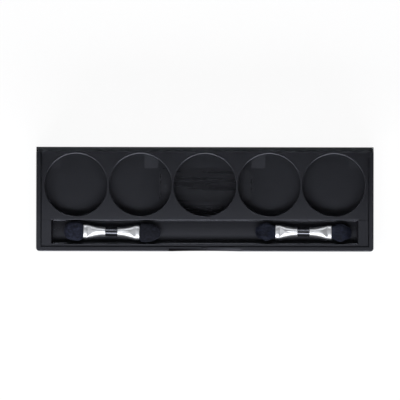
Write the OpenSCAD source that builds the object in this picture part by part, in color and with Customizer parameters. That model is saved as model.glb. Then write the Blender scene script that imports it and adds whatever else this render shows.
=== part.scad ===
// Eyeshadow palette: a low black case with a row of round pan wells, an applicator trough in front of them,
// a sponge applicator, a brush applicator and a clear hinged lid.
// Millimetres, +X along the row of wells, +Y to the hinge, +Z up, origin at the bottom centre of the case.

/* [Wells] */
// Number of pan wells in the row
well_count = 5; // [3:1:7]
// Bore of a pan well, for a 26 mm pan
well_d = 26.6; // [20:0.1:40]
// Web between two neighbouring wells
well_web = 0.9; // [0.8:0.1:6]
// Depth of a well, from the plate's top to the case floor
well_depth = 5.2; // [4.2:0.1:10]
// Wall of the skirt that hangs below each well
skirt_wall = 0.8; // [0.6:0.1:1.5]
// Rounding of the well mouths
mouth_round = 0.35; // [0.1:0.05:0.38]
// Land between the wells and the plate's side edges
side_margin = 1.4; // [1:0.1:6]
// Land between the wells and the plate's back edge
back_margin = 1.4; // [1:0.1:6]
// Thickness of the plate and of the tray's land
plate_t = 1.0; // [0.8:0.1:2]

/* [Applicator trough] */
// Width of the trough, front to back
trough_w = 10.3; // [9.6:0.1:16]
// Wall between the wells and the trough
trough_web = 1.6; // [0.8:0.1:4]
// Land in front of the trough
front_land = 1.0; // [0.8:0.1:6]
// Land at each end of the trough
end_land = 4.2; // [2:0.1:10]
// Rounding of the trough's mouth
trough_round = 0.2; // [0.1:0.05:0.38]
// Floor of the trough
tray_floor = 0.8; // [0.6:0.1:1.2]
// Rounding along the foot of the trough's front wall
trough_foot = 0.5; // [0.3:0.1:1.5]
// Rounding along the foot of the trough's back wall
back_foot = 0.25; // [0.1:0.05:0.5]
// How far each end wall of the trough leans in at its foot
end_lean = 0.8; // [0.2:0.1:1.2]
// Seam between the plate and the tray
seam = 0.15; // [0.05:0.05:0.4]

/* [Case] */
// Floor of the case
floor_t = 1.2; // [0.8:0.1:2.5]
// Width of the rim at the sides
rim_w = 1.9; // [1.5:0.1:4]
// Width of the rim at the front
rim_front_w = 1.85; // [1.5:0.05:4]
// Width of the rim at the back, under the hinge
rim_back_w = 1.1; // [0.9:0.1:2]
// Height of the rim above the plate
rim_step = 0.8; // [0.7:0.1:1.2]
// Open groove between the rim and the plate, at the sides and the back
groove = 0.4; // [0.2:0.05:0.8]
// Open groove between the front rim and the tray
front_groove = 0.25; // [0.2:0.05:0.8]
// Radius of the case's upright corners
corner_r = 1.5; // [1:0.1:4]
// Rounding of the case's upper and lower edges
edge_round = 0.35; // [0.1:0.05:0.6]
// Width of the thumb notch in the front rim
notch_w = 30.7; // [12:0.1:40]
// Depth of the thumb notch
notch_depth = 1.2; // [0.4:0.1:1.6]
// How far the thumb notch's floor rises to its ends
notch_rise = 0.5; // [0.2:0.1:0.8]
// Slope of the thumb notch to the front
notch_slope = 3; // [0:0.5:10]
// Reach of the thumb notch into the rim
notch_reach = 1.3; // [0.6:0.1:1.4]
// How far the case's front draws back at the thumb notch
notch_bow = 0.2; // [0.05:0.05:0.4]
// Height of the four pads that carry the plate
pad_h = 0.4; // [0.2:0.1:0.6]
// Width of each pad
pad_w = 5.9; // [3:0.1:8]
// Reach of each pad in from the back wall
pad_reach = 7.9; // [4:0.1:12]
// Distance of the inner pads from the middle
inner_pad_x = 22.9; // [15:0.1:30]
// Inset of the outer pads from the side walls
outer_pad_inset = 5.6; // [4:0.1:10]
// Width of the lower strip of floor along each side wall
side_strip_w = 6.4; // [3:0.1:8]
// Depth of those strips below the floor
side_strip_depth = 0.2; // [0.1:0.05:0.3]

/* [Floor inlay] */
// Length of the inlay
inlay_l = 39.2; // [20:0.1:44]
// Width of the inlay
inlay_w = 13.7; // [8:0.1:18]
// Corner radius of the inlay
inlay_r = 2.9; // [0.5:0.1:4]
// Thickness of the inlay
inlay_t = 0.5; // [0.3:0.1:0.7]
// How far the inlay stands above the floor
inlay_proud = 0.1; // [0:0.05:0.25]
// Gap along the inlay's sides
inlay_gap = 0.15; // [0.1:0.05:0.5]
// Gap at the inlay's ends
inlay_end_gap = 0.6; // [0.1:0.05:1]
// Distance of the inlay to the right of the case's middle
inlay_x = 0.5; // [-1:0.1:1]

/* [Lid and hinge] */
// Thickness of the lid, which is the diameter of its hinge edge
lid_t = 2.0; // [1.8:0.1:3]
// Depth of the recess under the lid
lid_recess = 0.8; // [0.4:0.1:1.0]
// Gap between the shut lid and the rim
lid_gap = 0.2; // [0.1:0.05:0.4]
// Angle of the lid at rest, from shut
lid_rest_angle = 90; // [0:5:180]
// Length of the lid's hinge barrel, between the lugs
barrel_l = 27; // [14:0.5:40]
// Length of each hinge lug on the case
lug_l = 4; // [3:0.1:8]
// Clearance beside and behind each lug
lug_gap = 0.25; // [0.1:0.05:0.5]
// Diameter of a hinge pin
pin_d = 1.0; // [0.8:0.05:1.2]
// Radial running clearance of a pin in the lid
pin_clearance = 0.05; // [0.02:0.01:0.1]
// Length of a pin inside the lid's barrel
pin_reach = 2.5; // [2:0.1:6]
// Width of the snap catch under the lid's front edge
catch_w = 8; // [6:0.5:16]
// Thickness of the snap catch
catch_t = 0.9; // [0.6:0.1:1.2]
// Reach of the catch below the lid
catch_drop = 0.7; // [0.5:0.05:0.8]
// Length of the snap bead on the catch
bead_l = 2.5; // [1:0.1:5]
// Engagement of that bead in the front rim
catch_bite = 0.12; // [0.1:0.01:0.2]
// Clearance around the catch
catch_gap = 0.1; // [0.05:0.01:0.15]

/* [Applicators] */
// Length of the bare black handle between the ferrules
grip_l = 5.0; // [3:0.1:20]
// Diameter of the handle
grip_d = 3.8; // [3.4:0.1:4]
// Length of a ferrule
ferrule_l = 9.5; // [8:0.1:16]
// Diameter of a ferrule's narrow end
ferrule_d = 3.9; // [3.6:0.1:4.2]
// Width of a ferrule's wide end
ferrule_w = 6.0; // [5:0.1:7.5]
// Thickness of a ferrule's wide end
ferrule_t = 3.0; // [2.6:0.1:3.6]
// Length of the straight collar at a ferrule's wide end
collar_l = 1.7; // [1:0.1:2.5]
// Depth of the flat dart pressed into a ferrule beside its collar
dart_depth = 0.35; // [0.1:0.05:0.5]
// Length of that dart
dart_l = 3.1; // [2:0.1:5]
// Metal of a ferrule
ferrule_wall = 0.4; // [0.3:0.05:0.5]
// Depth of the handle's spigot in a ferrule
spigot_l = 4.0; // [2:0.1:4.4]
// Depth of a tip's root in a ferrule
root_l = 4.2; // [2:0.1:4.4]
// Glue gap around spigots and roots
glue_gap = 0.03; // [0.01:0.01:0.1]
// Clearance between the applicators and the trough's floor
lie_gap = 0.05; // [0.02:0.01:0.3]
// Turn of the sponge applicator where it lies, in degrees
sponge_turn = -1.2; // [-1.5:0.1:1.5]
// Turn of the brush applicator where it lies, in degrees
brush_turn = -0.6; // [-1.5:0.1:1.5]
// Distance of the sponge applicator from the trough's left end
sponge_end_gap = 5.5; // [1:0.1:12]
// Distance of the brush applicator from the trough's right end
brush_end_gap = 2.8; // [1:0.1:12]

/* [Sponge tips] */
// Length of the left sponge tip
sponge_left_l = 8.1; // [7:0.1:14]
// Length of the right sponge tip
sponge_right_l = 9.1; // [7:0.1:14]
// Fullness of the left sponge tip's end, where 2 is an ellipse
sponge_left_full = 2.6; // [1.8:0.1:4]
// Fullness of the right sponge tip's end
sponge_right_full = 2; // [1.8:0.1:4]
// Width of a sponge tip
sponge_w = 8.3; // [7:0.1:8.6]
// Thickness of a sponge tip
sponge_t = 5.0; // [3.8:0.1:5.2]
// Length of a sponge tip's shoulder, from its ferrule to its widest place
sponge_shoulder = 2.2; // [1.5:0.1:3]
// Length of the plastic core inside a sponge tip
core_l = 5.0; // [3:0.1:6]

/* [Brush tips] */
// Length of a brush tip
brush_l = 8.6; // [7:0.1:14]
// Width of a brush tip
brush_w = 8.2; // [6.6:0.1:8.6]
// Thickness of a brush tip
brush_t = 4.8; // [3:0.1:5.2]
// Place of a brush tip's widest section, from its ferrule
brush_belly = 4.6; // [3:0.1:5.5]
// Strands across the width of a brush tip
strands_across = 18; // [16:1:22]
// Strands through the thickness of a brush tip
strands_deep = 10; // [8:1:10]
// Radius of a strand
strand_r = 0.07; // [0.04:0.01:0.08]
// Thickness of the slice that the strands are fused to
backing_t = 0.6; // [0.3:0.1:1]

/* [Hidden] */
$fn = 64;

black = [0.05, 0.05, 0.06];
inlay_black = [0.07, 0.07, 0.08];
clear = [0.85, 0.9, 0.92, 0.35];
silver = [0.8, 0.8, 0.82];
foam_navy = [0.08, 0.09, 0.14];
bristle_navy = [0.1, 0.11, 0.17];
overcut = 1;

// Plan: the case grows around its wells, trough, lands and rims
pitch = well_d + well_web;
row_l = (well_count - 1) * pitch + well_d;
plate_l = row_l + 2 * side_margin;
case_l = plate_l + 2 * (groove + rim_w);
case_w = rim_back_w + groove + back_margin + well_d + trough_web + trough_w
    + front_land + front_groove + rim_front_w;
cavity_l = case_l - 2 * rim_w;
cavity_front = rim_front_w - case_w / 2;
cavity_back = case_w / 2 - rim_back_w;
plate_front = cavity_front + front_groove + front_land + trough_w;
plate_back = cavity_back - groove;
tray_front = cavity_front + front_groove;
trough_front = tray_front + front_land;
trough_l = plate_l - 2 * end_land;
trough_y = (trough_front + plate_front) / 2;
well_y = plate_back - back_margin - well_d / 2;
leg_inset = 0.35;
well_xs = [for (i = [0:well_count - 1]) (i - (well_count - 1) / 2) * pitch];

// Heights
plate_top = floor_t + well_depth;
rim_top = plate_top + rim_step;
trough_top = floor_t + tray_floor;
pad_clear = 0.1;
skirt_foot = floor_t + pad_h + pad_clear;
inlay_seat = floor_t + inlay_proud - inlay_t;

// Hinge: the lid's round back edge turns about its own centre line
barrel_r = lid_t / 2;
axis_y = case_w / 2 - barrel_r;
axis_z = rim_top + lid_gap + barrel_r;
lug_x = barrel_l / 2 + lug_gap + lug_l / 2;
pin_l = pin_reach + lug_gap + lug_l;
catch_back = cavity_front + catch_gap + catch_t;
catch_foot = axis_z - barrel_r - catch_drop;
bite_h = catch_drop - lid_gap - catch_gap;

// Applicators
pad_xs = [for (s = [-1, 1]) each [s * inner_pad_x, s * (cavity_l / 2 - outer_pad_inset)]];
ferrule_end = grip_l / 2 + ferrule_l;
sponge_x = sponge_end_gap + sponge_left_l + ferrule_end - trough_l / 2;
brush_x = trough_l / 2 - brush_end_gap - brush_l - ferrule_end;
root_w = ferrule_w - 2 * ferrule_wall;
root_t = ferrule_t - 2 * ferrule_wall;

// Flat shapes

module rounded_rect(l, w, r) {
    square([l - 2 * r, w], center = true);
    square([l, w - 2 * r], center = true);
    for (x = [-1, 1], y = [-1, 1])
        translate([x * (l / 2 - r), y * (w / 2 - r)]) circle(r);
}

module slot_shape(w, t) {
    square([w - t, t], center = true);
    for (x = [-1, 1])
        translate([x * (w - t) / 2, 0]) circle(t / 2);
}

// A bar of that slot shape along X, from x0 to x1
module slot_bar(w, t, x0, x1) {
    translate([x0, 0, 0]) rotate([90, 0, 90]) linear_extrude(x1 - x0) slot_shape(w, t);
}

// A quarter-round cutter outline: what lies outside an edge's rounding, in the corner at the origin
module edge_waste(r) {
    difference() {
        translate([-r, -r]) square(r + overcut);
        translate([-r, -r]) circle(r);
        translate([-r - overcut, -r - overcut]) square([overcut, r + 3 * overcut]);
    }
}

// Loft along X through oval rings of [x, half width, half thickness], with triangles all round
module loft(rings, sides) {
    last = (len(rings) - 1) * sides;
    points = [
        for (ring = rings, k = [0:sides - 1])
            let (a = 360 * (k + 0.5) / sides)
            [ring[0], ring[1] * cos(a), ring[2] * sin(a)]
    ];
    skin = [
        for (i = [0:len(rings) - 2], k = [0:sides - 1])
            let (a = i * sides, b = a + sides, m = (k + 1) % sides)
            each [[a + k, b + k, b + m], [a + k, b + m, a + m]]
    ];
    near_cap = [for (k = [1:sides - 2]) [0, k, k + 1]];
    far_cap = [for (k = [1:sides - 2]) [last, last + k + 1, last + k]];
    polyhedron(points, concat(skin, near_cap, far_cap), convexity = 4);
}

// Case

// A block with rounded upright corners and rounded upper and lower edges
module soft_block(l, w, h, r, e) {
    module edge_profile(span) {
        difference() {
            translate([-span / 2, 0]) square([span, h]);
            for (s = [0, 1]) mirror([s, 0, 0]) {
                translate([span / 2, h]) edge_waste(e);
                translate([span / 2, 0]) mirror([0, 1, 0]) edge_waste(e);
            }
        }
    }
    intersection() {
        linear_extrude(h) rounded_rect(l, w, r);
        rotate([90, 0, 90]) translate([0, 0, -l]) linear_extrude(2 * l) edge_profile(w);
        rotate([90, 0, 0]) translate([0, 0, -w]) linear_extrude(2 * w) edge_profile(l);
    }
}

// A hinge lug: a round eye on a web that rises from the back rim
module hinge_lug() {
    rotate([90, 0, 90]) translate([0, 0, -lug_l / 2]) linear_extrude(lug_l) {
        translate([axis_y, axis_z]) circle(barrel_r);
        translate([cavity_back, plate_top]) square([rim_back_w, axis_z - plate_top]);
    }
}

// The thumb notch: a scoop with upright ends in the front rim, where the case's front also draws back
module thumb_notch() {
    arc_fn = 720;
    function arc_r(rise) = (pow(notch_w / 2, 2) + pow(rise, 2)) / (2 * rise);
    scoop_r = arc_r(notch_rise);
    bow_r = arc_r(notch_bow);
    intersection() {
        translate([0, notch_reach - case_w / 2, rim_top - notch_depth]) rotate([90 + notch_slope, 0, 0])
            translate([0, scoop_r, 0]) cylinder(r = scoop_r, h = notch_reach + overcut, $fn = arc_fn);
        translate([-notch_w / 2, -case_w / 2 - overcut, 0])
            cube([notch_w, notch_reach + 2 * overcut, rim_top + overcut]);
    }
    translate([0, notch_bow - case_w / 2 - bow_r, -overcut])
        cylinder(r = bow_r, h = rim_top + 2 * overcut, $fn = arc_fn);
}

module base_shell() {
    cavity_w = cavity_back - cavity_front;
    color(black) difference() {
        union() {
            difference() {
                soft_block(case_l, case_w, rim_top, corner_r, edge_round);
                translate([-cavity_l / 2, cavity_front, floor_t]) cube([cavity_l, cavity_w, rim_top]);
                for (x = [-cavity_l / 2, cavity_l / 2 - side_strip_w])
                    translate([x, cavity_front, floor_t - side_strip_depth])
                        cube([side_strip_w, cavity_w, rim_top]);
                translate([inlay_x, well_y, inlay_seat]) linear_extrude(well_depth)
                    rounded_rect(inlay_l + 2 * inlay_end_gap, inlay_w + 2 * inlay_gap, inlay_r + inlay_gap);
            }
            for (x = pad_xs)
                translate([x - pad_w / 2, cavity_back - pad_reach, floor_t / 2])
                    cube([pad_w, pad_reach + rim_back_w / 2, floor_t / 2 + pad_h]);
            for (s = [-1, 1]) translate([s * lug_x, 0, 0]) hinge_lug();
        }
        translate([0, axis_y, axis_z]) rotate([0, 90, 0]) cylinder(d = pin_d, h = case_l, center = true);
        thumb_notch();
        translate([0, cavity_front, catch_foot + bite_h / 2]) cube(
            [bead_l + 4 * catch_gap, 2 * (catch_bite + catch_gap), bite_h + 2 * catch_gap],
            center = true
        );
    }
}

module floor_inlay() {
    color(inlay_black) translate([inlay_x, well_y, inlay_seat]) linear_extrude(inlay_t)
        rounded_rect(inlay_l, inlay_w, inlay_r);
}

// Plate and tray

// A well's bore with its rounded mouth
module well_cut() {
    translate([0, 0, floor_t - overcut]) cylinder(d = well_d, h = well_depth + 2 * overcut);
    translate([0, 0, plate_top]) rotate_extrude() difference() {
        translate([0, -mouth_round]) square([well_d / 2 + mouth_round, mouth_round + overcut]);
        translate([well_d / 2 + mouth_round, -mouth_round]) circle(mouth_round);
    }
}

// Rounding of the plate's front edge, which is the trough's back edge
module trough_edge_cut() {
    rotate([90, 0, 90]) translate([plate_front, plate_top, -trough_l / 2]) linear_extrude(trough_l)
        mirror([1, 0, 0]) edge_waste(trough_round);
}

module pan_plate() {
    plate_w = plate_back - plate_front;
    leg_t = back_margin - leg_inset;
    color(black) difference() {
        union() {
            translate([-plate_l / 2, plate_front, plate_top - plate_t]) cube([plate_l, plate_w, plate_t]);
            translate([-plate_l / 2, plate_front, floor_t])
                cube([plate_l, trough_web, well_depth - plate_t / 2]);
            for (x = well_xs)
                translate([x, well_y, skirt_foot]) intersection() {
                    cylinder(d = well_d + 2 * skirt_wall, h = plate_top - skirt_foot - plate_t / 2);
                    translate([-pitch, plate_front - well_y, 0]) cube([2 * pitch, plate_w, well_depth]);
                }
            for (x = pad_xs)
                translate([x - pad_w / 2, well_y + well_d / 2, floor_t + pad_h])
                    cube([pad_w, leg_t, well_depth - pad_h - plate_t / 2]);
        }
        for (x = well_xs) translate([x, well_y, 0]) well_cut();
        trough_edge_cut();
    }
}

// The trough's space, whose end walls lean in below the rounding of its mouth
module trough_space() {
    half = trough_l / 2;
    lean_h = plate_top - trough_round - trough_top;
    translate([0, plate_front, trough_top]) rotate([90, 0, 0]) linear_extrude(trough_w) polygon([
        [end_lean - half, 0],
        [half - end_lean, 0],
        [half, lean_h],
        [half, well_depth],
        [-half, well_depth],
        [-half, lean_h]
    ]);
}

// A hollow rounding along X, in the corner of a floor and a wall that meet at the origin
module foot_round(r) {
    translate([-trough_l / 2, 0, 0]) rotate([90, 0, 90]) linear_extrude(trough_l) difference() {
        square(r);
        translate([r, r]) circle(r);
    }
}

module applicator_tray() {
    tray_back = plate_front - seam;
    tray_w = tray_back - tray_front;
    color(black) difference() {
        translate([-plate_l / 2, tray_front, floor_t]) cube([plate_l, tray_w, well_depth]);
        difference() {
            trough_space();
            translate([0, trough_front, trough_top]) foot_round(trough_foot);
            translate([0, tray_back, trough_top]) mirror([0, 1, 0]) foot_round(back_foot);
        }
        translate([0, trough_front, plate_top]) rotate([90, 0, 90]) translate([0, 0, -trough_l / 2])
            linear_extrude(trough_l) edge_waste(trough_round);
        for (s = [0, 1]) mirror([s, 0, 0])
            translate([trough_l / 2, trough_front, plate_top]) rotate([90, 0, 0]) mirror([0, 0, 1])
                linear_extrude(trough_w) mirror([1, 0, 0]) edge_waste(trough_round);
    }
}

// Lid, drawn shut and then turned to its rest angle

module shut_lid() {
    lid_low = axis_z - barrel_r;
    recess_l = cavity_l - 2 * catch_gap;
    recess_w = cavity_back - cavity_front - barrel_r - lug_gap;
    difference() {
        union() {
            intersection() {
                translate([0, 0, lid_low]) linear_extrude(lid_t) rounded_rect(case_l, case_w, corner_r);
                translate([-case_l, -case_w / 2, lid_low]) cube([2 * case_l, case_w / 2 + axis_y, lid_t]);
            }
            intersection() {
                translate([0, axis_y, axis_z]) rotate([0, 90, 0])
                    cylinder(r = barrel_r, h = case_l - 2 * corner_r, center = true);
                translate([-case_l, axis_y - barrel_r / 2, lid_low]) cube([2 * case_l, lid_t, lid_t]);
            }
        }
        translate([-recess_l / 2, catch_back, lid_low - overcut])
            cube([recess_l, recess_w - catch_gap - catch_t, lid_recess + overcut]);
        for (s = [-1, 1]) translate([s * lug_x, axis_y, axis_z])
            translate([-lug_l / 2 - lug_gap, -barrel_r - lug_gap, -lid_t])
                cube([lug_l + 2 * lug_gap, 2 * lid_t, 2 * lid_t]);
        for (s = [-1, 1]) translate([s * (barrel_l / 2 - pin_reach), axis_y, axis_z]) rotate([0, s * 90, 0])
            cylinder(r = pin_d / 2 + pin_clearance, h = pin_reach + overcut);
    }
    translate([-catch_w / 2, cavity_front + catch_gap, catch_foot])
        cube([catch_w, catch_t, catch_drop + lid_recess / 2]);
    translate([-bead_l / 2, cavity_front + catch_gap, catch_foot + bite_h / 2]) rotate([90, 0, 90])
        linear_extrude(bead_l) polygon([
            [catch_bite, 0],
            [0, bite_h / 2],
            [-catch_bite, 0],
            [0, -bite_h / 2]
        ]);
}

module lid() {
    color(clear) translate([0, axis_y, axis_z]) rotate([-lid_rest_angle, 0, 0])
        translate([0, -axis_y, -axis_z]) shut_lid();
}

module hinge_pin(side) {
    color(silver) translate([side * (barrel_l / 2 - pin_reach), axis_y, axis_z]) rotate([0, side * 90, 0])
        cylinder(d = pin_d, h = pin_l);
}

// Applicators, drawn about their own middle

module place_sponge() {
    translate([sponge_x, trough_y, trough_top + lie_gap + sponge_t / 2]) rotate(sponge_turn) children();
}

module place_brush() {
    translate([brush_x, trough_y, trough_top + lie_gap + brush_t / 2]) rotate(brush_turn) children();
}

module handle() {
    rotate([0, 90, 0]) cylinder(d = grip_d, h = grip_l, center = true);
    rotate([0, 90, 0])
        cylinder(d = ferrule_d - 2 * ferrule_wall - 2 * glue_gap, h = grip_l + 2 * spigot_l, center = true);
}

// Right-hand ferrule: round at the handle, flaring to a flat collar at the tip, with a dart on both faces
module ferrule() {
    sides = 24;
    flare_steps = 8;
    flare_l = ferrule_l - collar_l;
    function flare(u) = pow(u, 2.2) * (1.6 - 0.6 * u);
    rings = [
        for (i = [0:flare_steps])
            let (u = i / flare_steps, f = flare(u))
            [
                grip_l / 2 + u * flare_l,
                ferrule_d / 2 + f * (ferrule_w - ferrule_d) / 2,
                ferrule_d / 2 + f * (ferrule_t - ferrule_d) / 2
            ],
        [ferrule_end, ferrule_w / 2, ferrule_t / 2]
    ];
    dart_end = grip_l / 2 + flare_l;
    dart_start = dart_end - dart_l;
    color(silver) difference() {
        loft(rings, sides);
        for (s = [0, 1]) mirror([0, 0, s]) rotate([90, 0, 0]) translate([0, 0, -ferrule_w])
            linear_extrude(2 * ferrule_w) polygon([
                [dart_start, ferrule_d / 2],
                [dart_end, ferrule_t / 2 - dart_depth],
                [dart_end, ferrule_d],
                [dart_start, ferrule_d]
            ]);
        translate([grip_l / 2 - overcut, 0, 0]) rotate([0, 90, 0])
            cylinder(d = ferrule_d - 2 * ferrule_wall, h = spigot_l + overcut);
        slot_bar(root_w, root_t, ferrule_end - root_l, ferrule_end + overcut);
    }
}

// Right-hand sponge core, from inside the ferrule to inside the foam
module sponge_stem() {
    color(black)
        slot_bar(root_w - 2 * glue_gap, root_t - 2 * glue_gap, ferrule_end - root_l, ferrule_end + core_l);
}

// Right-hand sponge tip of a length and fullness: a crowned foam bud over its core
module sponge_tip(length, full) {
    sides = 24;
    dome_steps = 9;
    start_angle = -acos(ferrule_w / sponge_w);
    end_angle = 86;
    back_axis = -sponge_shoulder / sin(start_angle);
    front_axis = (length - sponge_shoulder) / pow(sin(end_angle), 2 / full);
    rings = [
        for (i = [0:dome_steps])
            let (
                a = start_angle + (end_angle - start_angle) * i / dome_steps,
                reach = a < 0 ? sin(a) * back_axis : pow(sin(a), 2 / full) * front_axis,
                share = a < 0 ? cos(a) : pow(cos(a), 2 / full)
            )
            [ferrule_end + sponge_shoulder + reach, share * sponge_w / 2, share * sponge_t / 2]
    ];
    color(foam_navy) difference() {
        loft(rings, sides);
        slot_bar(root_w, root_t, ferrule_end - overcut, ferrule_end + core_l + glue_gap);
    }
}

// Right-hand glue plug behind the bristles
module bristle_plug() {
    color(black)
        slot_bar(root_w - 2 * glue_gap, root_t - 2 * glue_gap, ferrule_end - root_l, ferrule_end - backing_t);
}

// Right-hand bristles: strands that spread from a backing slice to a belly and close to a rounded end
module brush_bristles() {
    root_half = [root_w / 2 - 2 * strand_r - glue_gap, root_t / 2 - 2 * strand_r - glue_gap];
    belly_half = [brush_w / 2 - strand_r, brush_t / 2 - strand_r];
    end_share = 0.82;
    dome_drop = 0.42;
    tip_taper = 0.6;
    // A place in the unit square, taken to the unit disc without crossing its neighbours
    function to_disc(u, v) = [u * sqrt(1 - v * v / 2), v * sqrt(1 - u * u / 2)];
    function ring(x, p, half, r) = [
        for (k = [0:2]) [x, p[0] * half[0] + r * cos(120 * k), p[1] * half[1] + r * sin(120 * k)]
    ];
    places = [
        for (i = [0:strands_across - 1], j = [0:strands_deep - 1])
            let (shift = j % 2 == 0 ? 0.25 : 0.75)
            to_disc(2 * (i + shift) / strands_across - 1, 2 * (j + 0.5) / strands_deep - 1)
    ];
    points = [
        for (p = places)
            let (
                rr = min(1, p[0] * p[0] + p[1] * p[1]),
                reach = brush_l * (1 - dome_drop * rr * rr),
                belly = min(brush_belly, 0.75 * reach)
            )
            each concat(
                ring(ferrule_end - backing_t / 2, p, root_half, strand_r),
                ring(ferrule_end + belly, p, belly_half, strand_r),
                ring(ferrule_end + reach, p, belly_half * end_share, strand_r * tip_taper)
            )
    ];
    faces = [
        for (s = [0:len(places) - 1])
            let (o = 9 * s)
            each concat(
                [[o, o + 1, o + 2], [o + 6, o + 8, o + 7]],
                [
                    for (level = [0, 3], k = [0:2])
                        let (a = o + level, m = (k + 1) % 3)
                        each [[a + k, a + 3 + k, a + 3 + m], [a + k, a + 3 + m, a + m]]
                ]
            )
    ];
    color(bristle_navy) resize([0, 0, 0]) union() {
        polyhedron(points, faces, convexity = 10);
        slot_bar(
            root_w - 2 * glue_gap, root_t - 2 * glue_gap,
            ferrule_end - backing_t, ferrule_end, $fn = 24
        );
    }
}

base_shell();
floor_inlay();
pan_plate();
applicator_tray();
lid();
hinge_pin(-1);  // hinge_pin_left
hinge_pin(1);  // hinge_pin_right
place_sponge() color(black) handle();  // sponge_handle
place_sponge() mirror([1, 0, 0]) ferrule();  // sponge_ferrule_left
place_sponge() ferrule();  // sponge_ferrule_right
place_sponge() mirror([1, 0, 0]) sponge_stem();  // sponge_stem_left
place_sponge() sponge_stem();  // sponge_stem_right
place_sponge() mirror([1, 0, 0]) sponge_tip(sponge_left_l, sponge_left_full);  // sponge_tip_left
place_sponge() sponge_tip(sponge_right_l, sponge_right_full);  // sponge_tip_right
place_brush() color(black) handle();  // brush_handle
place_brush() mirror([1, 0, 0]) ferrule();  // brush_ferrule_left
place_brush() ferrule();  // brush_ferrule_right
place_brush() mirror([1, 0, 0]) bristle_plug();  // bristle_plug_left
place_brush() bristle_plug();  // bristle_plug_right
place_brush() mirror([1, 0, 0]) brush_bristles();  // brush_bristles_left
place_brush() brush_bristles();  // brush_bristles_right
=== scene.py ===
import math
import random
from typing import NamedTuple

import bmesh
import bpy
from mathutils import Matrix, Vector, noise


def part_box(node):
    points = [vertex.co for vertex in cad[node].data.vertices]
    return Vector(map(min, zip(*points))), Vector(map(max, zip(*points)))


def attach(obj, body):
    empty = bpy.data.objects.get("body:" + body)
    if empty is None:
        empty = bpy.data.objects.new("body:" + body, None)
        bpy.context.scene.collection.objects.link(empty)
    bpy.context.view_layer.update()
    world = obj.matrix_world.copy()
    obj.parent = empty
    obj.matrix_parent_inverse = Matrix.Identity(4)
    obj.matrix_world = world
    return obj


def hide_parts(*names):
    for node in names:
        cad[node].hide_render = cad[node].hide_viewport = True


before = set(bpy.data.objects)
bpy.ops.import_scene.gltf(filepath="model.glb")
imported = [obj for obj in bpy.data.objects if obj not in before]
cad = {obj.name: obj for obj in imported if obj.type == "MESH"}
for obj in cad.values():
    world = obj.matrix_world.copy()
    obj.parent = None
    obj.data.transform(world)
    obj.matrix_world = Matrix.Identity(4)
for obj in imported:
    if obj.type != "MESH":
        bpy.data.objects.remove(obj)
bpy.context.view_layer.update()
MM = 0.001
SIDES = {"left": -1, "right": 1}

# Sizes of the modelled pieces, in metres, as the construction has them

TURN = {"sponge": math.radians(-1.2), "brush": math.radians(-0.6)}
FERRULE_ENDS = (2.5 * MM, 12.0 * MM)
FERRULE_R = 1.95 * MM
FERRULE_HALF = (3.0 * MM, 1.5 * MM)
FLARE_POWER = 2.2
FLARE_EASE = 0.6
COLLAR_L = 1.7 * MM
COLLAR_POWER = 2.5
DART_DEPTH = 0.35 * MM
DART_L = 3.1 * MM
SLOT_HALF = (2.61 * MM, 1.105 * MM)
SLOT_DEPTH = 4.25 * MM
SLOT_POWER = 2.6
SPIGOT_R = 1.545 * MM
SPONGE_L = {"left": 8.1 * MM, "right": 9.1 * MM}
SPONGE_FULL = {"left": 2.6, "right": 2.0}
SPONGE_HALF = (4.15 * MM, 2.5 * MM)
SPONGE_SHOULDER = 2.2 * MM
CORE_L = 5.05 * MM
BRUSH_L = 8.6 * MM
BRUSH_HALF = (4.1 * MM, 2.4 * MM)
BRUSH_BELLY = 4.6 * MM

# Finer sizes that only the scene has

LIP = 0.12 * MM
CREASE_HALF = 0.22 * MM
CREASE_DEPTH = 0.1 * MM
COLLAR_SHARES = (0.04, 0.1, 0.3, 0.6, 0.86)
COLLAR_EDGE = ((0.03 * MM, 0.04 * MM), (0.0, LIP))
FOAM_POWER = 2.15
FOAM_SEED = Vector((3.1, 7.7, 1.3))
FOAM_END = math.pi / 2 - 0.02
PORE_DEPTH, PORE_SINK = 0.045 * MM, 0.8
PORE_CELLS = 2400
FINE_PORE_CELLS, FINE_PORE_SHARE = 5200, 0.6
LUMP_DEPTH, LUMP_SINK = 0.05 * MM, 0.6
LUMP_CELLS = 420
CORE_TIP = 0.6
STRANDS = (36, 24)
STRAND_JITTER = (0.2, 0.25)
STRAND_R = 0.055 * MM
STRAND_ROOT = 0.4 * MM
STRAND_SHARES = (0.0, 0.2, 0.4, 0.6, 0.8, 0.92, 1.0)
STRAND_LEAN = 0.12
ROOT_INSET, BELLY_INSET = 0.15 * MM, 0.1 * MM
BELLY_SHARE = 0.75
SIDE_SHORTER = 0.42
LENGTHS = (0.965, 1.0)
FOLD, FOLD_POWER = 0.2, 1.6
TAPER, TAPER_FROM = 2.6, 0.8
HAIR_SEEDS = {"left": 11, "right": 12}

# Heights between which the faces with a gloss of their own lie

SIDE_STRIPS = (0.9 * MM, 1.1 * MM)
CASE_FLOOR = (1.1 * MM, 1.45 * MM)
PADS = (1.45 * MM, 1.75 * MM)
TROUGH_FLOOR = (1.9 * MM, 2.5 * MM)
INSERT_TOP = (5 * MM, 6.5 * MM)
NOTCH_FLOOR = (5.8 * MM, 7.17 * MM)
RIM_TOP = (7.17 * MM, 7.5 * MM)

# Places that a finish depends on: the inlay's middle, the half sizes of its core, from which its
# rounded outline is measured, and how far out its ends lie; and the upright lid's front edge, the
# middle of its thickness, and its inner face, past which only the catch stands

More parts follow.
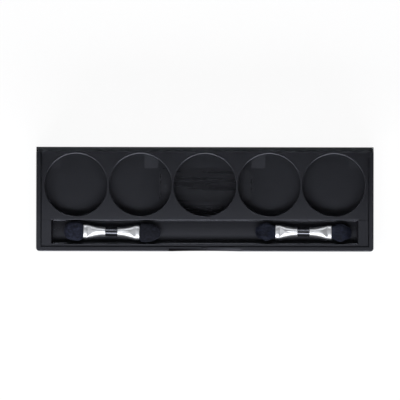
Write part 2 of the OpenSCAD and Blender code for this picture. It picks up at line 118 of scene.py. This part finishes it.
INLAY_MIDDLE = (0.5 * MM, 6.05 * MM, 0)
INLAY_CORE = (16.7 * MM, 3.95 * MM, 1)
INLAY_ENDS = (13 * MM, 16 * MM)
INLAY_BORDER = (18.4 * MM, 19.6 * MM)
INLAY_OUTLINE = 3.5 * MM
INLAY_SOFT_ENDS = (5.5 * MM, 13 * MM)
INLAY_SIDES = 14 * MM
LID_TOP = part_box("lid")[1].z
LID_EDGE = (LID_TOP - 0.3 * MM, LID_TOP - 0.1 * MM)
LID_MIDDLE = (20.9 * MM, 21.4 * MM)
LID_FACE = 20.24 * MM


# Shader helpers, for materials and for the world

def feed(material, target, inputs):
    """Sets a node's inputs to plain values, or links them to other nodes' outputs."""
    for name, value in inputs.items():
        if isinstance(value, bpy.types.NodeSocket):
            material.node_tree.links.new(value, target.inputs[name])
        else:
            target.inputs[name].default_value = value


def add(material, kind, inputs, **settings):
    """A new node of that kind in the material."""
    made = material.node_tree.nodes.new("ShaderNode" + kind)
    for name, value in settings.items():
        setattr(made, name, value)
    feed(material, made, inputs)
    return made


def finish_of(name, **values):
    """A new Principled material with its constant values set on the shader's own sockets."""
    material = bpy.data.materials.new(name)
    material.use_nodes = True
    shader = material.node_tree.nodes["Principled BSDF"]
    feed(material, shader, {key.replace("_", " "): value for key, value in values.items()})
    return material, shader


def own_place(material):
    """The object's own coordinates, in metres."""
    return add(material, "TexCoord", {}).outputs["Object"]


def place(material, stretch=(1, 1, 1), turn=0.0):
    """The object's own coordinates, turned about Z by some degrees, and drawn out where stretch is
    under 1."""
    inputs = {"Vector": own_place(material), "Rotation": (0, 0, math.radians(turn))}
    turned = add(material, "Mapping", inputs).outputs["Vector"]
    return add(material, "Mapping", {"Vector": turned, "Scale": stretch}).outputs["Vector"]


def grain(material, cells, stretch=(1, 1, 1), turn=0.0, detail=2.0, rough=0.5):
    """Noise with that many cells to the metre, from 0 to 1."""
    inputs = {"Vector": place(material, stretch, turn), "Scale": cells}
    inputs.update({"Detail": detail, "Roughness": rough})
    return add(material, "TexNoise", inputs).outputs["Fac"]


def math_of(material, operation, first, second=0.0):
    """A sum, product or other simple operation on one or two values."""
    return add(material, "Math", {0: first, 1: second}, operation=operation).outputs[0]


def vector_of(material, operation, first, second=(0, 0, 0), result="Vector"):
    """A simple operation on one or two vectors."""
    made = add(material, "VectorMath", {0: first, 1: second}, operation=operation)
    return made.outputs[result]


def total(material, values):
    """The sum of several values, which is 0 where there are none."""
    result = 0.0
    for value in values:
        result = math_of(material, "ADD", result, value)
    return result


def along(material, axis):
    """One of the object's own coordinates, in metres."""
    return add(material, "SeparateXYZ", {"Vector": own_place(material)}).outputs[axis]


def between(material, axis, low, high):
    """1 where one of the object's own coordinates lies between two values, and 0 elsewhere."""
    value = along(material, axis)
    above = math_of(material, "GREATER_THAN", value, low)
    return math_of(material, "MULTIPLY", above, math_of(material, "LESS_THAN", value, high))


def ranged(material, value, low, high, start=0.3, end=0.7):
    """A value spread from low to high, between start and end."""
    inputs = {"Value": value, "From Min": start, "From Max": end, "To Min": low, "To Max": high}
    return add(material, "MapRange", inputs).outputs["Result"]


def blend(material, factor, first, second):
    """A colour between two others."""
    made = add(material, "Mix", {}, data_type="RGBA")
    feed(material, made, {"Factor": factor})
    for socket, colour in zip(made.inputs[6:8], (first, second)):
        if isinstance(colour, bpy.types.NodeSocket):
            material.node_tree.links.new(colour, socket)
        else:
            socket.default_value = (*colour, 1)
    return made.outputs[2]


def bumped(material, layers, normal=None):
    """Bumps on top of each other, from pairs of a height from 0 to 1 and its depth in metres."""
    for height, depth in layers:
        inputs = {"Height": height, "Distance": depth, "Strength": 1.0}
        if normal:
            inputs["Normal"] = normal
        normal = add(material, "Bump", inputs).outputs["Normal"]
    return normal


# Black mouldings

BLACK_GLOSS = {"IOR": 1.7, "Specular_Tint": (0.86, 0.88, 1.0, 1)}
BLACKS = (0.004, 0.004, 0.0049), (0.005, 0.005, 0.0061)
HANDLE_BLACKS = (0.006, 0.006, 0.007), (0.01, 0.01, 0.011)
SATIN, POLISHED = (0.332, 0.348), (0.1, 0.18)
SATIN_GRAIN, POLISHED_GRAIN = 0.004 * MM, 0.002 * MM
WIPE_TURN = 2


class Span(NamedTuple):
    """A face that crowns very slightly, so that it leans to the back: its heights, where along Y
    its lean starts and where it is full, and how much it then leans."""
    heights: tuple
    start: float
    end: float
    full: float


class Zone(NamedTuple):
    """Where a moulding's gloss differs: the heights of its face, the change of roughness at the
    start and at the end of a stretch along an axis, how much it is mottled, and how far it reaches
    to both sides of the middle, which is all the way at 0."""
    heights: tuple
    first: float
    last: float
    start: float = -10 * MM
    end: float = 20 * MM
    axis: str = "Y"
    mottle: float = 0.0
    reach: float = 0.0


DECK = Span((5 * MM, 10 * MM), -8 * MM, 19 * MM, 0.06)
WELLS = Span((0.9 * MM, 1.45 * MM), -4 * MM, 18.5 * MM, 0.07)
CASE_ZONES = [
    Zone(SIDE_STRIPS, -0.027, -0.027),
    Zone(CASE_FLOOR, -0.017, -0.017),
    Zone(CASE_FLOOR, -0.05, 0.0, start=-2.6 * MM, end=0.6 * MM, reach=13 * MM),
    Zone(PADS, -0.012, -0.012),
    Zone(PADS, 0.035, 0.035, mottle=0.02, reach=30 * MM),
    Zone(RIM_TOP, -0.010, -0.026),
    Zone(NOTCH_FLOOR, -0.24, 0.1, start=-15.4 * MM, end=15.4 * MM, axis="X", reach=15.4 * MM),
]
INSERT_ZONES = [
    Zone(TROUGH_FLOOR, 0.022, -0.08, start=-15.5 * MM, end=-9 * MM),
    Zone(TROUGH_FLOOR, -0.12, 0.0, start=-17.6 * MM, end=-15.2 * MM),
    Zone(TROUGH_FLOOR, -0.05, 0.0, start=-64.8 * MM, end=-52 * MM, axis="X"),
    Zone(TROUGH_FLOOR, 0.0, -0.04, start=52 * MM, end=65 * MM, axis="X"),
    Zone(INSERT_TOP, 0.016, -0.026),
    Zone(INSERT_TOP, -0.008, 0.0, start=-67 * MM, end=-58 * MM, axis="X"),
    Zone(INSERT_TOP, 0.0, -0.022, start=58 * MM, end=67 * MM, axis="X"),
    Zone(INSERT_TOP, -0.014, 0.0, start=-19 * MM, end=-10 * MM),
]


def crowned(material, spans):
    """The normal of a moulding whose faces lean by their spans."""
    leans = []
    for span in spans:
        lean = ranged(material, along(material, "Y"), 0.0, span.full, span.start, span.end)
        inside = between(material, "Z", *span.heights)
        leans.append(math_of(material, "MULTIPLY", inside, lean))
    normal = add(material, "NewGeometry", {}).outputs["Normal"]
    shift = add(material, "CombineXYZ", {"Y": total(material, leans)}).outputs["Vector"]
    return vector_of(material, "NORMALIZE", vector_of(material, "ADD", normal, shift))


def zone_change(material, zone):
    """The change of roughness that a zone makes, which is 0 outside it."""
    place_along = along(material, zone.axis)
    change = ranged(material, place_along, zone.first, zone.last, zone.start, zone.end)
    if zone.mottle:
        spots = grain(material, 1300, detail=3.0)
        mottling = ranged(material, spots, -zone.mottle, zone.mottle)
        change = math_of(material, "ADD", change, mottling)
    inside = between(material, "Z", *zone.heights)
    if zone.reach:
        inside = math_of(material, "MULTIPLY", inside,
                         between(material, "X", -zone.reach, zone.reach))
    return math_of(material, "MULTIPLY", inside, change)


def inlay_shade(material):
    """The change of roughness on the case's floor past the inlay's ends, which leaves a soft dark
    outline."""
    past = vector_of(material, "SUBTRACT", own_place(material), INLAY_MIDDLE)
    past = vector_of(material, "ABSOLUTE", past)
    past = vector_of(material, "SUBTRACT", past, INLAY_CORE)
    past = vector_of(material, "MAXIMUM", past)
    away = vector_of(material, "LENGTH", past, result="Value")
    change = total(material, [ranged(material, away, -0.022, 0.0, INLAY_OUTLINE, end)
                              for end in INLAY_SOFT_ENDS])
    beside = between(material, "X", -INLAY_SIDES, INLAY_SIDES)
    change = math_of(material, "MULTIPLY", change, between(material, "Z", *CASE_FLOOR))
    return math_of(material, "MULTIPLY", change, math_of(material, "SUBTRACT", 1.0, beside))


def black_plastic(name, tones, roughness, sparkle, spans=(), zones=(), shades=()):
    """Moulded black plastic: a fine spark-eroded grain, faint flow clouds and a few hair scuffs.
    Spans lean its faces, and zones and shades change its gloss."""
    material, shader = finish_of(name, **BLACK_GLOSS)
    clouds = grain(material, 60, detail=4.0)
    fine = grain(material, 5200, detail=1.0)
    scuffs = grain(material, 900, stretch=(0.05, 1, 1), detail=3.0, rough=0.7)
    rough = [ranged(material, scuffs, *roughness)]
    rough += [zone_change(material, zone) for zone in zones]
    rough += [shade(material) for shade in shades]
    bumps = [(fine, sparkle), (scuffs, 0.1 * sparkle)]
    feed(material, shader, {
        "Base Color": blend(material, ranged(material, clouds, 0.0, 1.0), *tones),
        "Roughness": total(material, rough),
        "Normal": bumped(material, bumps, crowned(material, spans)),
    })
    return material


def inlay_plastic(spans):
    """The floor panel: black plastic that was wiped along its length, slightly askew. It is duller
    near its ends and glossier on their very edge."""
    material, shader = finish_of("inlay_black", **BLACK_GLOSS)
    streaks = grain(material, 480, stretch=(0.06, 1, 1), turn=WIPE_TURN, detail=0.0)
    hairs = grain(material, 1500, stretch=(0.03, 1, 1), turn=WIPE_TURN, detail=0.0)
    smears = grain(material, 380, stretch=(0.12, 1, 1), turn=WIPE_TURN, detail=3.0)
    tones = (0.003, 0.003, 0.0035), (0.005, 0.005, 0.0056)
    out = math_of(material, "SUBTRACT", along(material, "X"), INLAY_MIDDLE[0])
    out = math_of(material, "ABSOLUTE", out)
    rough = [
        ranged(material, streaks, 0.262, 0.302),
        ranged(material, hairs, -0.008, 0.008),
        ranged(material, out, 0.0, 0.045, *INLAY_ENDS),
        ranged(material, out, 0.0, -0.06, *INLAY_BORDER),
    ]
    feed(material, shader, {
        "Base Color": blend(material, ranged(material, smears, 0.0, 1.0), *tones),
        "Roughness": total(material, rough),
        "Normal": bumped(material, [(streaks, 0.0002 * MM)], crowned(material, spans)),
    })
    return material


# Other finishes

SMOKE = (0.3, 0.32, 0.33, 1)
SMOKE_DENSITY = 60.0
FROST = (0.26, 0.385)
FROSTED_TONE = (0.045, 0.048, 0.06)


def clear_plastic():
    """Clear moulded plastic with a faint smoke tint and hair scuffs. Its front edge and catch are
    darker and frosted, less so on the edge's inner half."""
    material, shader = finish_of("lid_clear", IOR=1.49, Transmission_Weight=1.0,
                                 Specular_Tint=(0.9, 0.92, 1.0, 1))
    scuffs = grain(material, 700, stretch=(0.08, 1, 1), detail=4.0, rough=0.7)
    clouds = grain(material, 40, detail=2.0)
    edge = ranged(material, along(material, "Z"), 0.0, 1.0, *LID_EDGE)
    edge = math_of(material, "MAXIMUM", edge, between(material, "Y", 0.0, LID_FACE))
    frost = ranged(material, along(material, "Y"), *FROST, *LID_MIDDLE)
    frosting = math_of(material, "MULTIPLY", edge, frost)
    clear = blend(material, clouds, (0.97, 0.985, 0.985), (0.985, 0.99, 0.995))
    feed(material, shader, {
        "Base Color": blend(material, edge, clear, FROSTED_TONE),
        "Roughness": math_of(material, "ADD", frosting, ranged(material, scuffs, 0.028, 0.036)),
    })
    smoke = add(material, "VolumeAbsorption", {"Color": SMOKE, "Density": SMOKE_DENSITY})
    output = material.node_tree.nodes["Material Output"]
    feed(material, output, {"Volume": smoke.outputs[0]})
    return material


def steel():
    """Blackened steel wire, with draw lines along the pin."""
    material, shader = finish_of("pin_steel", Metallic=1.0)
    lines = grain(material, 4000, stretch=(0.03, 1, 1))
    feed(material, shader, {
        "Base Color": blend(material, lines, (0.025, 0.025, 0.027), (0.045, 0.045, 0.048)),
        "Roughness": ranged(material, lines, 0.3, 0.42),
        "Normal": bumped(material, [(lines, 0.004 * MM)]),
    })
    return material


def silver():
    """Satin drawn aluminium with soft rub marks."""
    material, shader = finish_of("ferrule_silver", Metallic=1.0)
    lines = grain(material, 3800, stretch=(0.06, 1, 1), detail=3.0)
    rubs = grain(material, 420, detail=3.0)
    feed(material, shader, {
        "Base Color": blend(material, rubs, (0.5, 0.5, 0.507), (0.63, 0.63, 0.637)),
        "Roughness": ranged(material, rubs, 0.4, 0.48),
        "Normal": bumped(material, [(lines, 0.006 * MM)]),
    })
    return material


def foam(name, dark, light):
    """Cosmetic foam: open cells with painted shade inside them, and uneven dye."""
    material, shader = finish_of(name, Roughness=0.9, Specular_IOR_Level=0.15, Sheen_Weight=0.05,
                                 Sheen_Roughness=0.5, Sheen_Tint=(0.55, 0.6, 0.9, 1))
    voronoi = add(material, "TexVoronoi", {"Vector": place(material), "Scale": 2600.0})
    cells = voronoi.outputs["Distance"]
    patches = grain(material, 900, detail=3.0, rough=0.6)
    dye = blend(material, ranged(material, patches, 0.0, 1.0, 0.36, 0.64), dark, light)
    pore_shade_share = ranged(material, cells, 0.0, 1.0, 0.1, 0.5)
    feed(material, shader, {
        # Painted shade: the base colour goes near black towards each cell's middle, standing in for
        # the shade inside the pores
        "Base Color": blend(material, pore_shade_share, (0.004, 0.004, 0.007), dye),
        "Normal": bumped(material, [(cells, 0.06 * MM), (patches, 0.08 * MM)]),
    })
    return material


def hair():
    """Navy bristle: each strand has its own tone, with darker bands and a soft sheen along it."""
    material, shader = finish_of("bristle_navy", IOR=1.5, Specular_IOR_Level=0.35,
                                 Specular_Tint=(0.78, 0.82, 1.0, 1))
    strand_share = add(material, "NewGeometry", {}).outputs["Random Per Island"]
    bands = grain(material, 1300, stretch=(0.25, 1, 1), turn=24)
    band_share = ranged(material, bands, 0.0, 0.9, 0.38, 0.6)
    tone = blend(material, strand_share, (0.003, 0.0037, 0.0078), (0.0185, 0.022, 0.0435))
    feed(material, shader, {
        "Base Color": blend(material, band_share, tone, (0.002, 0.0025, 0.0048)),
        "Roughness": ranged(material, bands, 0.42, 0.6),
    })
    return material


# Mesh helpers

def piece(name, builder, material, body, nodes):
    """A smooth piece from a filled bmesh, which rides on a body and stands for CAD nodes."""
    mesh = bpy.data.meshes.new(name)
    bmesh.ops.recalc_face_normals(builder, faces=builder.faces)
    builder.to_mesh(mesh)
    builder.free()
    for face in mesh.polygons:
        face.use_smooth = True
    mesh.materials.append(material)
    made = bpy.data.objects.new(name, mesh)
    bpy.context.scene.collection.objects.link(made)
    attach(made, body)
    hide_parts(*nodes)
    return made


def skin(builder, rings, caps=True, loop=False):
    """Quads through rings of as many points each, closed by caps or by joining the last ring to the
    first."""
    rows = [[builder.verts.new(p) for p in ring] for ring in rings]
    pairs = list(zip(rows, rows[1:]))
    if loop:
        pairs.append((rows[-1], rows[0]))
    for first, second in pairs:
        for k in range(len(first)):
            m = (k + 1) % len(first)
            builder.faces.new((first[k], first[m], second[m], second[k]))
    if caps:
        builder.faces.new(rows[0])
        builder.faces.new(rows[-1])


def clamp(value, low, high):
    """A value kept between two others."""
    return max(low, min(high, value))


def oval(x, half_y, half_z, count, power=2.0):
    """A ring of points round the X axis: a superellipse, which is an ellipse at power 2."""
    points = []
    for k in range(count):
        a = 2 * math.pi * k / count
        c, s = math.cos(a), math.sin(a)
        y = math.copysign(abs(c) ** (2 / power), c) * half_y
        z = math.copysign(abs(s) ** (2 / power), s) * half_z
        points.append(Vector((x, y, z)))
    return points


def middle_of(tool):
    """The point at the middle of an applicator."""
    low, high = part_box(f"{tool}_handle")
    return (low + high) / 2


def placed(rings, tool, side):
    """Rings drawn along +X about an applicator's middle, taken to that side of it and turned as it
    lies."""
    centre = middle_of(tool)
    turn = Matrix.Rotation(TURN[tool], 3, "Z")
    flip = SIDES[side]
    return [[centre + turn @ Vector((flip * p.x, p.y, p.z)) for p in ring] for ring in rings]


# Applicator pieces

def flare(u):
    """How far a ferrule has flared at a share u of its way to the collar."""
    return u ** FLARE_POWER * (1 + FLARE_EASE - FLARE_EASE * u)


def ferrule(tool, side, material):
    """A drawn metal ferrule: round at the handle, flared and pressed flat at the tip, with a dart
    on both faces and a crease from the handle to the dart."""
    around, steps = 144, 60
    narrow, wide = FERRULE_ENDS
    collar = wide - COLLAR_L
    dart_start = collar - DART_L
    root = wide - SLOT_DEPTH

    def creased(p):
        share = min(1.0, abs(p.y) / CREASE_HALF)
        return Vector((p.x, p.y, p.z - math.copysign(CREASE_DEPTH * (1 - share) ** 2, p.z)))

    def dart(x, ring):
        if x > collar:
            return ring
        if x <= dart_start:
            return [creased(p) for p in ring]
        share = (x - dart_start) / (collar - dart_start)
        top = FERRULE_R + share * (FERRULE_HALF[1] - DART_DEPTH - FERRULE_R)
        return [Vector((p.x, p.y, clamp(p.z, -top, top))) for p in ring]

    rings = [oval(narrow, FERRULE_R - LIP, FERRULE_R - LIP, around)]
    for i in range(steps + 1):
        u = i / steps
        f = flare(u)
        x = narrow + LIP + u * (collar - narrow - LIP)
        half = [FERRULE_R + f * (h - FERRULE_R) for h in FERRULE_HALF]
        rings.append(dart(x, oval(x, *half, around, 2.0 + (COLLAR_POWER - 2.0) * f)))
    for share in COLLAR_SHARES:
        rings.append(oval(collar + share * COLLAR_L, *FERRULE_HALF, around, COLLAR_POWER))
    for back, inset in COLLAR_EDGE:
        rings.append(oval(wide - back, *(h - inset for h in FERRULE_HALF), around, COLLAR_POWER))
    rings.append(oval(wide, *SLOT_HALF, around, SLOT_POWER))
    rings.append(oval(root, *SLOT_HALF, around, SLOT_POWER))
    rings.append(oval(root, SPIGOT_R, SPIGOT_R, around))
    rings.append(oval(narrow, SPIGOT_R, SPIGOT_R, around))
    builder = bmesh.new()
    skin(builder, placed(rings, tool, side), caps=False, loop=True)
    node = f"{tool}_ferrule_{side}"
    body = f"{tool}_applicator"
    return piece(f"{node}_metal", builder, material, body, [node])


def sponge(side, material):
    """A foam bud over its flat core: full at the shoulder, round at the end, with an open-celled
    skin."""
    around, steps = 120, 70
    wide = FERRULE_ENDS[1]
    length = SPONGE_L[side]
    power = 2 / SPONGE_FULL[side]
    start = -math.acos(FERRULE_HALF[0] / SPONGE_HALF[0])
    back_axis = SPONGE_SHOULDER / math.sin(-start)
    front_axis = length - SPONGE_SHOULDER
    seed = FOAM_SEED * SIDES[side]

    def surface(x, half_y, half_z):
        ring = []
        for p in oval(x, half_y, half_z, around, FOAM_POWER):
            cell = noise.noise(p * PORE_CELLS + seed)
            cell += FINE_PORE_SHARE * noise.noise(p * FINE_PORE_CELLS + seed)
            lump = noise.noise(p * LUMP_CELLS + seed)
            depth = PORE_DEPTH * (PORE_SINK + cell) + LUMP_DEPTH * (LUMP_SINK + lump)
            radial = Vector((0, p.y, p.z)).normalized()
            ring.append(p - radial * depth if half_y > PORE_DEPTH else p)
        return ring

    rings = [oval(wide + CORE_L, *(CORE_TIP * h for h in SLOT_HALF), around, SLOT_POWER)]
    rings.append(oval(wide + CORE_L, *SLOT_HALF, around, SLOT_POWER))
    rings.append(oval(wide + 0.02 * MM, *SLOT_HALF, around, SLOT_POWER))
    for i in range(steps + 1):
        a = start + (FOAM_END - start) * i / steps
        reach = math.sin(a) * back_axis if a < 0 else math.sin(a) ** power * front_axis
        share = math.cos(a) if a < 0 else math.cos(a) ** power
        x = min(wide + 0.03 * MM + SPONGE_SHOULDER + reach, wide + length - 0.02 * MM)
        rings.append(surface(x, *(share * h for h in SPONGE_HALF)))
    builder = bmesh.new()
    skin(builder, placed(rings, "sponge", side))
    node = f"sponge_tip_{side}"
    made = piece(f"{node}_foam", builder, material, "sponge_applicator", [node])
    return made


def to_disc(u, v):
    """A place in the unit square, taken to the unit disc without crossing its neighbours."""
    return u * math.sqrt(1 - v * v / 2), v * math.sqrt(1 - u * u / 2)


def strand(p, q, reach, lean):
    """The rings of one bristle, from its place in the unit disc, its reach and how far its end
    leans."""
    wide = FERRULE_ENDS[1]
    root_half = [h - ROOT_INSET for h in SLOT_HALF]
    belly_half = [h - BELLY_INSET for h in BRUSH_HALF]
    belly = min(BRUSH_BELLY, BELLY_SHARE * reach)
    limit = BRUSH_HALF[0] - STRAND_R
    rings = []
    for share in STRAND_SHARES:
        x = -STRAND_ROOT + share * (reach + STRAND_ROOT)
        t = clamp(x / belly, 0.0, 1.0)
        spread = t * t * (3 - 2 * t)
        close = max(0.0, (x - belly) / max(reach - belly, 1e-6))
        fold = 1 - FOLD * close ** FOLD_POWER
        half = [r + spread * (b - r) for r, b in zip(root_half, belly_half)]
        radius = STRAND_R * (1.0 - TAPER * max(0.0, share - TAPER_FROM))
        y = clamp(p * half[0] * fold + lean * share * share, -limit, limit)
        z = q * half[1] * fold
        rings.append([c + Vector((0, y, z)) for c in oval(wide + x, radius, radius, 4)])
    return rings


def bristles(side, material):
    """Strands that leave the ferrule as a slot, spread to a belly and close to a rounded end."""
    across, deep = STRANDS
    jitter_u, jitter_v = STRAND_JITTER
    dice = random.Random(HAIR_SEEDS[side])
    builder = bmesh.new()
    for i in range(across):
        for j in range(deep):
            shift = 0.25 if j % 2 else 0.75
            u = 2 * (i + shift + dice.uniform(-jitter_u, jitter_u)) / across - 1
            v = 2 * (j + 0.5 + dice.uniform(-jitter_v, jitter_v)) / deep - 1
            p, q = to_disc(clamp(u, -1, 1), clamp(v, -1, 1))
            out = min(1.0, p * p + q * q)
            reach = BRUSH_L * (1 - SIDE_SHORTER * out * out) * dice.uniform(*LENGTHS)
            lean = dice.uniform(-STRAND_LEAN, STRAND_LEAN) * MM
            skin(builder, placed(strand(p, q, reach, lean), "brush", side))
    node = f"brush_bristles_{side}"
    return piece(f"{node}_hair", builder, material, "brush_applicator", [node])


# Dress the construction

def dress(material, *names):
    """Gives CAD nodes a finish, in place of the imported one."""
    for name in names:
        slots = cad[name].data.materials
        slots.clear()
        slots.append(material)


dress(black_plastic("case_black", BLACKS, SATIN, SATIN_GRAIN, [DECK, WELLS], CASE_ZONES,
                    [inlay_shade]),
      "base_shell")
dress(black_plastic("insert_black", BLACKS, SATIN, SATIN_GRAIN, [DECK], INSERT_ZONES),
      "pan_plate", "applicator_tray")
dress(inlay_plastic([WELLS]), "floor_inlay")
dress(clear_plastic(), "lid")
dress(steel(), "hinge_pin_left", "hinge_pin_right")
dress(black_plastic("handle_black", HANDLE_BLACKS, POLISHED, POLISHED_GRAIN),
      "sponge_handle", "brush_handle", "sponge_stem_left", "sponge_stem_right",
      "bristle_plug_left", "bristle_plug_right")

metal = silver()
for tool in ("sponge", "brush"):
    for side in SIDES:
        ferrule(tool, side, metal)
navy_hair = hair()
sponge("left", foam("sponge_navy", (0.003, 0.0036, 0.0067), (0.0155, 0.0177, 0.031)))
sponge("right", foam("sponge_dark_navy", (0.0034, 0.0037, 0.0055), (0.0109, 0.0116, 0.0172)))
for side in SIDES:
    bristles(side, navy_hair)


# Floor, light and camera

FLOOR_HALF = 6.0
FLOOR_GLOW = 0.93
TENT_LEVEL = 0.15
TENT_COLOUR = (0.95, 0.97, 1.0)
TENT_SIDES = (1.35, 0.65)
OPENING_LEVEL = 0.02
OPENING_AIM = (0, 0.25, 1)
OPENING_EDGE = (0.72, 0.95)
CARDS = {(0, 0.72, 0.69): 2.4, (-0.77, 0, 0.64): 0.3}
CARD_EDGE = (0.9, 0.97)
GROUND_COLOUR = (0.985, 0.985, 0.985)
HORIZON = (-0.02, -0.01)
KEY_AT = (-0.025, -0.24, 0.34)
KEY_SIZE = (0.6, 0.14)
KEY_WATTS = 2.9
KEY_COLOUR = (0.94, 0.96, 1.0)
CAMERA_AT = (-2.09 * MM, -0.34 * MM, 1.0)
CAMERA_ROLL = math.radians(0.1)
VIEW_WIDTH = 170.68 * MM


def floor():
    """A plain white floor that keeps the object's shadow."""
    size = FLOOR_HALF
    mesh = bpy.data.meshes.new("floor")
    corners = [(-size, -size, 0), (size, -size, 0), (size, size, 0), (-size, size, 0)]
    mesh.from_pydata(corners, [], [(0, 1, 2, 3)])
    made = bpy.data.objects.new("floor", mesh)
    made.location.z = -0.05 * MM
    bpy.context.scene.collection.objects.link(made)
    material, shader = finish_of("floor_white", Base_Color=(0.9, 0.9, 0.9, 1), Roughness=0.9)
    rays = add(material, "LightPath", {}).outputs
    seen = math_of(material, "MAXIMUM", rays["Is Camera Ray"], rays["Is Glossy Ray"])
    seen = math_of(material, "MAXIMUM", seen, rays["Is Transmission Ray"])
    share = math_of(material, "MULTIPLY", seen, FLOOR_GLOW)
    glow = add(material, "Emission", {"Color": (1, 1, 1, 1), "Strength": 1.0}).outputs[0]
    mixed = add(material, "MixShader", {0: share, 1: shader.outputs[0], 2: glow}).outputs[0]
    feed(material, material.node_tree.nodes["Material Output"], {"Surface": mixed})
    mesh.materials.append(material)


def key():
    """A soft rectangular lamp in front of the object, which faces its middle and no view shows."""
    lamp = bpy.data.lights.new("key", "AREA")
    lamp.shape = "RECTANGLE"
    lamp.size, lamp.size_y = KEY_SIZE
    lamp.energy = KEY_WATTS
    lamp.color = KEY_COLOUR
    made = bpy.data.objects.new("key", lamp)
    made.location = KEY_AT
    made.rotation_euler = (-Vector(KEY_AT)).to_track_quat("-Z", "Y").to_euler()
    made.visible_camera = False
    made.visible_transmission = False
    bpy.context.scene.collection.objects.link(made)


def sky():
    """A white studio tent, brighter to the left and taller in front, with a dark opening overhead
    for the camera and white cards behind the object and to its left. Below the horizon it is as
    white as the floor."""
    world = bpy.data.worlds.new("studio")
    world.use_nodes = True
    direction = add(world, "TexCoord", {}).outputs["Generated"]

    def nearness(aim):
        return vector_of(world, "DOT_PRODUCT", direction, aim, result="Value")

    part = add(world, "SeparateXYZ", {"Vector": direction}).outputs
    level = ranged(world, nearness(OPENING_AIM), TENT_LEVEL, OPENING_LEVEL, *OPENING_EDGE)
    level = math_of(world, "MULTIPLY", level, ranged(world, part["X"], *TENT_SIDES, -1.0, 1.0))
    for aim, bright in CARDS.items():
        card = ranged(world, nearness(aim), 0.0, bright, *CARD_EDGE)
        level = math_of(world, "ADD", level, card)
    below = ranged(world, part["Z"], 1.0, 0.0, *HORIZON)
    level = math_of(world, "MAXIMUM", level, below)
    colour = blend(world, below, TENT_COLOUR, GROUND_COLOUR)
    feed(world, world.node_tree.nodes["Background"], {"Color": colour, "Strength": level})
    bpy.context.scene.world = world


def camera():
    """Straight down on the object, framed as in the photograph. The view is parallel, so that the
    upright lid is seen edge-on."""
    lens = bpy.data.cameras.new("camera")
    lens.type = "ORTHO"
    lens.ortho_scale = VIEW_WIDTH
    made = bpy.data.objects.new("camera", lens)
    made.location = CAMERA_AT
    made.rotation_euler = (0, 0, CAMERA_ROLL)
    bpy.context.scene.collection.objects.link(made)
    bpy.context.scene.camera = made


floor()
sky()
key()
camera()
bpy.context.scene.view_settings.view_transform = "Standard"
